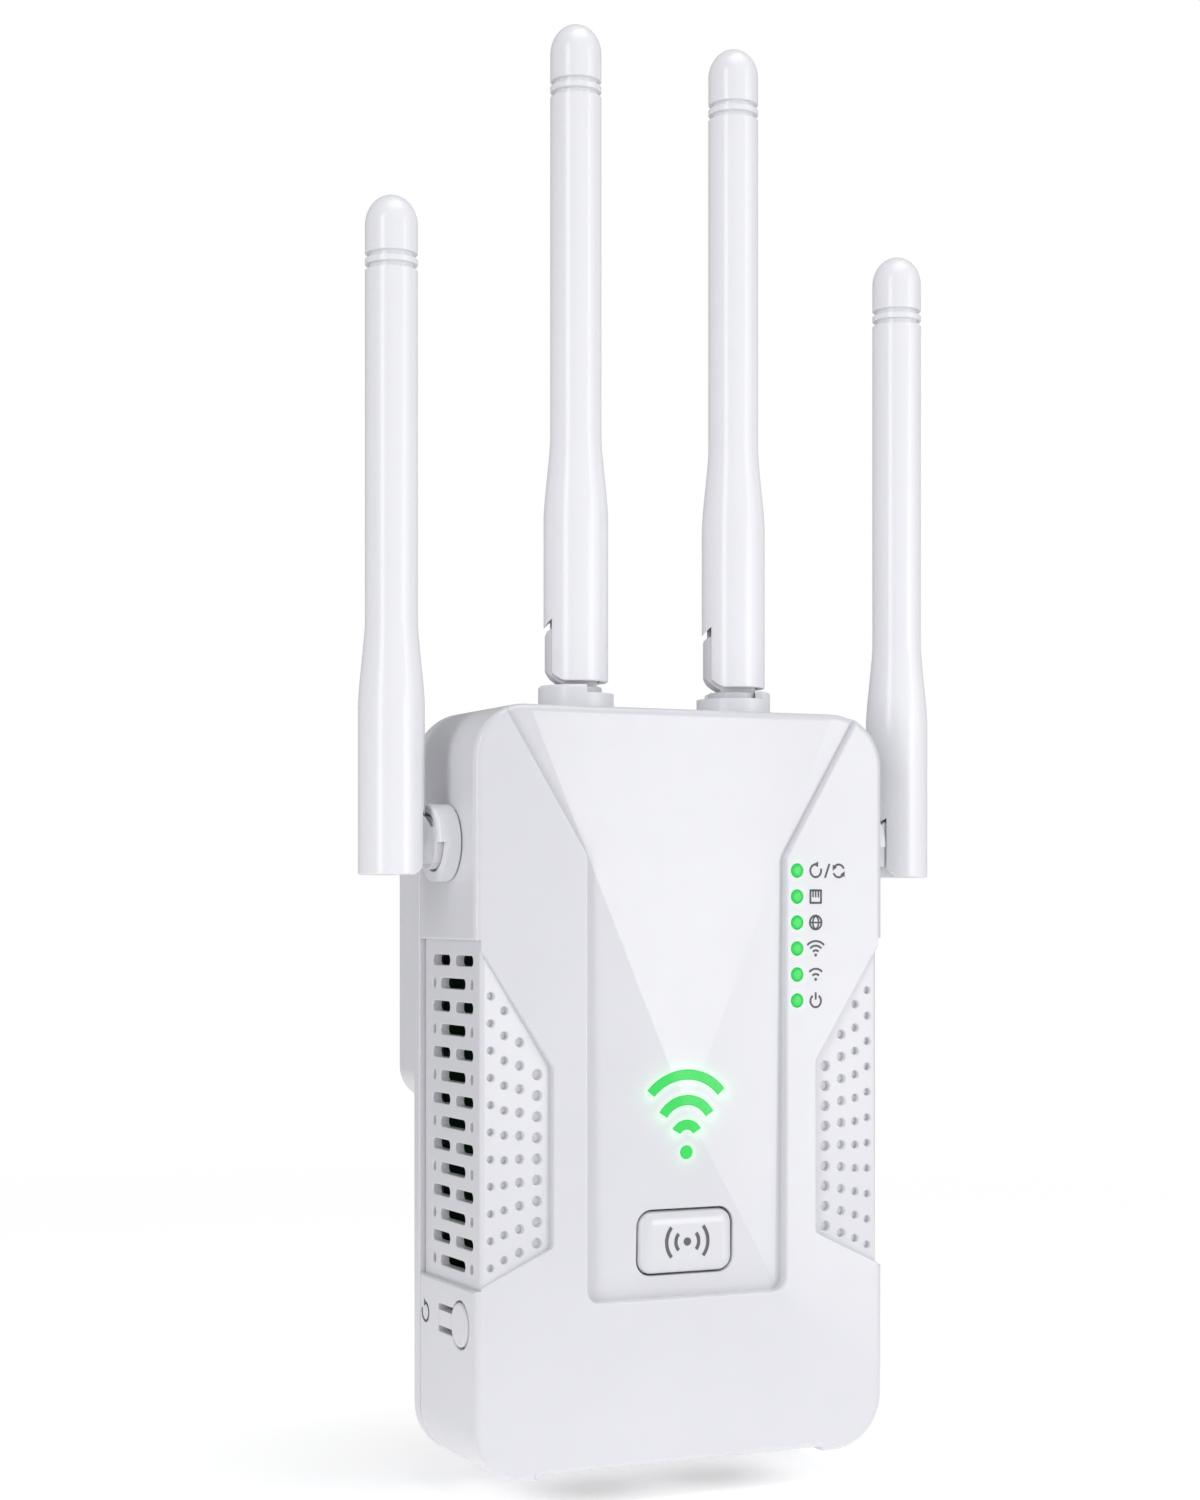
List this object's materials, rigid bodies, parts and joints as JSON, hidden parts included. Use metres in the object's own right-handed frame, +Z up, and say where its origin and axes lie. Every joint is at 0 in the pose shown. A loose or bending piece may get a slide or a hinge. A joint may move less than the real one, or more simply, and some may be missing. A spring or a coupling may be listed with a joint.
{
  "type": "wifi range extender",
  "caption": "Plug-in wifi range extender with a deep white body, folding rod antennas on top and sides, vented waist, lit signal mark, push button and network jacks below.",
  "frame": {"origin": "middle of the plug block's rear face, which meets the wall socket", "axes": "+Z up along the height, +Y into the wall socket, the face looks along -Y"},
  "size_m": [0.0806, 0.0518, 0.1823],
  "materials": {
    "white_shell": "satin cool-white moulded ABS",
    "white_rod": "satin cool-white moulded plastic",
    "knuckle_plastic": "matt light-grey acetal",
    "lit_guide": "clear acrylic lit green from behind",
    "led_resin": "yellow phosphor resin",
    "brass": "plain brass",
    "steel": "zinc plated",
    "lead_jacket": "black coax jacket",
    "circuit_board": "green solder mask",
    "tin_plate": "tin-plated steel",
    "heat_sink": "bare aluminium",
    "winding_tape": "yellow winding tape",
    "can_sleeve": "dark shrink sleeve",
    "plunger_plastic": "moulded nylon",
    "black_plastic": "black moulded plastic"
  },
  "bodies": {
    "body": {"front_shell": "white_shell", "rear_cover": "white_shell", "plug_blade_left": "brass", "cover_screw_top_left": "steel", "cover_screw_bottom_left": "steel", "wan_jack": "tin_plate", "plug_blade_right": "brass", "cover_screw_top_right": "steel", "cover_screw_bottom_right": "steel", "lan_jack": "tin_plate", "signal_light_guide": "lit_guide", "status_light_guide": "lit_guide", "status_led_1": "led_resin", "status_led_2": "led_resin", "status_led_3": "led_resin", "status_led_4": "led_resin", "status_led_5": "led_resin", "status_led_6": "led_resin", "pair_switch": "black_plastic", "reset_switch": "black_plastic", "main_board": "circuit_board", "heat_sink": "heat_sink", "processor": "black_plastic", "radio_shield": "tin_plate", "network_transformer": "black_plastic", "power_board": "circuit_board", "transformer": "winding_tape", "bulk_capacitor": "can_sleeve", "board_header": "black_plastic", "top_left_collar": "knuckle_plastic", "top_right_collar": "knuckle_plastic", "side_left_collar": "knuckle_plastic", "side_right_collar": "knuckle_plastic", "top_left_coax": "lead_jacket", "side_left_coax": "lead_jacket", "top_right_coax": "lead_jacket", "side_right_coax": "lead_jacket"},
    "pair_button": {"pair_button": "white_shell", "pair_switch_plunger": "plunger_plastic"},
    "reset_tab": {"reset_tab": "white_shell", "reset_switch_plunger": "plunger_plastic"},
    "top_left_elbow": {"top_left_elbow": "knuckle_plastic"},
    "top_left_antenna": {"top_left_antenna_sleeve": "white_rod", "top_left_radiator": "brass", "top_left_hinge_pin": "steel"},
    "top_right_elbow": {"top_right_elbow": "knuckle_plastic"},
    "top_right_antenna": {"top_right_antenna_sleeve": "white_rod", "top_right_radiator": "brass", "top_right_hinge_pin": "steel"},
    "side_left_elbow": {"side_left_elbow": "knuckle_plastic"},
    "side_left_antenna": {"side_left_antenna_sleeve": "white_rod", "side_left_radiator": "brass", "side_left_hinge_pin": "steel"},
    "side_right_elbow": {"side_right_elbow": "knuckle_plastic"},
    "side_right_antenna": {"side_right_antenna_sleeve": "white_rod", "side_right_radiator": "brass", "side_right_hinge_pin": "steel"}
  },
  "joints": [
    {"name": "pair_button_press", "type": "slide", "parent": "body", "child": "pair_button", "axis": [0, 1, 0], "range_m": [0, 0.0005], "stiffness_N_per_m": 900},
    {"name": "reset_tab_press", "type": "hinge", "parent": "body", "child": "reset_tab", "pos_m": [-0.0281, -0.0221, -0.0457], "axis": [0, 0, 1], "range_deg": [0, 3], "stiffness_Nm_per_rad": 0.27},
    {"name": "top_left_swivel", "type": "hinge", "parent": "body", "child": "top_left_elbow", "pos_m": [-0.0113, -0.0253, 0.0306], "axis": [0, 0, 1], "range_deg": [-170, 170]},
    {"name": "top_left_fold", "type": "hinge", "parent": "top_left_elbow", "child": "top_left_antenna", "pos_m": [-0.0113, -0.0253, 0.0381], "axis": [-0.3584, -0.9336, 0], "range_deg": [0, 90]},
    {"name": "top_right_swivel", "type": "hinge", "parent": "body", "child": "top_right_elbow", "pos_m": [0.0113, -0.0253, 0.0306], "axis": [0, 0, 1], "range_deg": [-170, 170]},
    {"name": "top_right_fold", "type": "hinge", "parent": "top_right_elbow", "child": "top_right_antenna", "pos_m": [0.0113, -0.0253, 0.0381], "axis": [-0.3584, -0.9336, 0], "range_deg": [0, 90]},
    {"name": "side_left_swivel", "type": "hinge", "parent": "body", "child": "side_left_elbow", "pos_m": [-0.0287, -0.0253, 0.0136], "axis": [-1, 0, 0], "range_deg": [-170, 170]},
    {"name": "side_left_fold", "type": "hinge", "parent": "side_left_elbow", "child": "side_left_antenna", "pos_m": [-0.0362, -0.0253, 0.0136], "axis": [0, -1, 0], "range_deg": [0, 90]},
    {"name": "side_right_swivel", "type": "hinge", "parent": "body", "child": "side_right_elbow", "pos_m": [0.0287, -0.0253, 0.0136], "axis": [1, 0, 0], "range_deg": [-170, 170]},
    {"name": "side_right_fold", "type": "hinge", "parent": "side_right_elbow", "child": "side_right_antenna", "pos_m": [0.0362, -0.0253, 0.0136], "axis": [0, 1, 0], "range_deg": [0, 90]}
  ]
}
